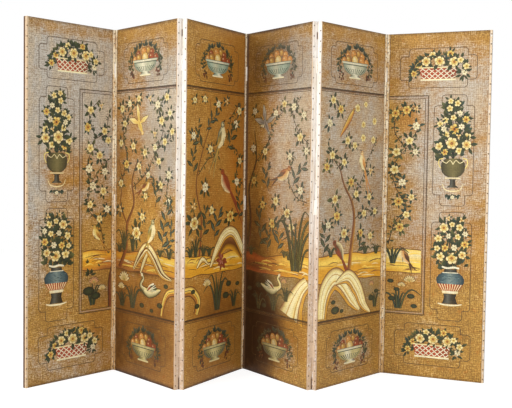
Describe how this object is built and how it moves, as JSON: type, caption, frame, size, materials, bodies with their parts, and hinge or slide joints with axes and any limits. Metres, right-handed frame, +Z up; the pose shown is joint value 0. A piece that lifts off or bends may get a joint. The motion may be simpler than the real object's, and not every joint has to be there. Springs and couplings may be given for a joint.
{
  "type": "painted leather folding screen",
  "caption": "Tall folding room screen: hinged leather panels painted with flowers, birds and baskets, pale tacked edge binding and butt hinges; stands in a zigzag.",
  "frame": {"origin": "on the floor, at the middle of the standing screen's outline", "axes": "+X along the screen to the right as seen from the painted front, +Y towards the back, +Z up"},
  "size_m": [2.7376, 0.5644, 2.13],
  "materials": {
    "frame_wood": "sawn softwood",
    "painted_leather": "gilt and painted, tooled with a fine hatch, aged varnish",
    "lining_cloth": "plain brown canvas",
    "binding_leather": "pale, worn",
    "tack_metal": "dark tarnish",
    "hinge_metal": "dark tarnish"
  },
  "bodies": {
    "panel_1": {"panel_1_left_stile": "frame_wood", "panel_1_right_stile": "frame_wood", "panel_1_rails": "frame_wood", "panel_1_leather_face": "painted_leather", "panel_1_back_lining": "lining_cloth", "panel_1_edge_binding": "binding_leather", "panel_1_tacks": "tack_metal", "panel_1_hinge_leaves": "hinge_metal", "panel_1_hinge_screws": "hinge_metal", "fold_1_hinge_pins": "hinge_metal"},
    "panel_2": {"panel_2_left_stile": "frame_wood", "panel_2_right_stile": "frame_wood", "panel_2_rails": "frame_wood", "panel_2_leather_face": "painted_leather", "panel_2_back_lining": "lining_cloth", "panel_2_edge_binding": "binding_leather", "panel_2_tacks": "tack_metal", "panel_2_hinge_leaves": "hinge_metal", "panel_2_hinge_screws": "hinge_metal", "fold_2_hinge_pins": "hinge_metal"},
    "panel_3": {"panel_3_left_stile": "frame_wood", "panel_3_right_stile": "frame_wood", "panel_3_rails": "frame_wood", "panel_3_leather_face": "painted_leather", "panel_3_back_lining": "lining_cloth", "panel_3_edge_binding": "binding_leather", "panel_3_tacks": "tack_metal", "panel_3_hinge_leaves": "hinge_metal", "panel_3_hinge_screws": "hinge_metal", "fold_3_hinge_pins": "hinge_metal"},
    "panel_4": {"panel_4_left_stile": "frame_wood", "panel_4_right_stile": "frame_wood", "panel_4_rails": "frame_wood", "panel_4_leather_face": "painted_leather", "panel_4_back_lining": "lining_cloth", "panel_4_edge_binding": "binding_leather", "panel_4_tacks": "tack_metal", "panel_4_hinge_leaves": "hinge_metal", "panel_4_hinge_screws": "hinge_metal", "fold_4_hinge_pins": "hinge_metal"},
    "panel_5": {"panel_5_left_stile": "frame_wood", "panel_5_right_stile": "frame_wood", "panel_5_rails": "frame_wood", "panel_5_leather_face": "painted_leather", "panel_5_back_lining": "lining_cloth", "panel_5_edge_binding": "binding_leather", "panel_5_tacks": "tack_metal", "panel_5_hinge_leaves": "hinge_metal", "panel_5_hinge_screws": "hinge_metal", "fold_5_hinge_pins": "hinge_metal"},
    "panel_6": {"panel_6_left_stile": "frame_wood", "panel_6_right_stile": "frame_wood", "panel_6_rails": "frame_wood", "panel_6_leather_face": "painted_leather", "panel_6_back_lining": "lining_cloth", "panel_6_edge_binding": "binding_leather", "panel_6_tacks": "tack_metal", "panel_6_hinge_leaves": "hinge_metal", "panel_6_hinge_screws": "hinge_metal"}
  },
  "joints": [
    {"name": "fold_1", "type": "hinge", "parent": "panel_2", "child": "panel_1", "pos_m": [-0.92369, 0.18832, 0], "axis": [0, 0, 1], "range_deg": [-95.3, 84.7]},
    {"name": "fold_2", "type": "hinge", "parent": "panel_3", "child": "panel_2", "pos_m": [-0.4695, -0.25654, 0], "axis": [0, 0, -1], "range_deg": [-105.2, 74.8]},
    {"name": "fold_3", "type": "hinge", "parent": "panel_3", "child": "panel_4", "pos_m": [-0.10672, 0.26555, 0], "axis": [0, 0, -1], "range_deg": [-110.8, 69.2]},
    {"name": "fold_4", "type": "hinge", "parent": "panel_4", "child": "panel_5", "pos_m": [0.3019, -0.22151, 0], "axis": [0, 0, 1], "range_deg": [-98.3, 81.7]},
    {"name": "fold_5", "type": "hinge", "parent": "panel_5", "child": "panel_6", "pos_m": [0.76909, 0.20968, 0], "axis": [0, 0, -1], "range_deg": [-67.2, 112.8]}
  ]
}
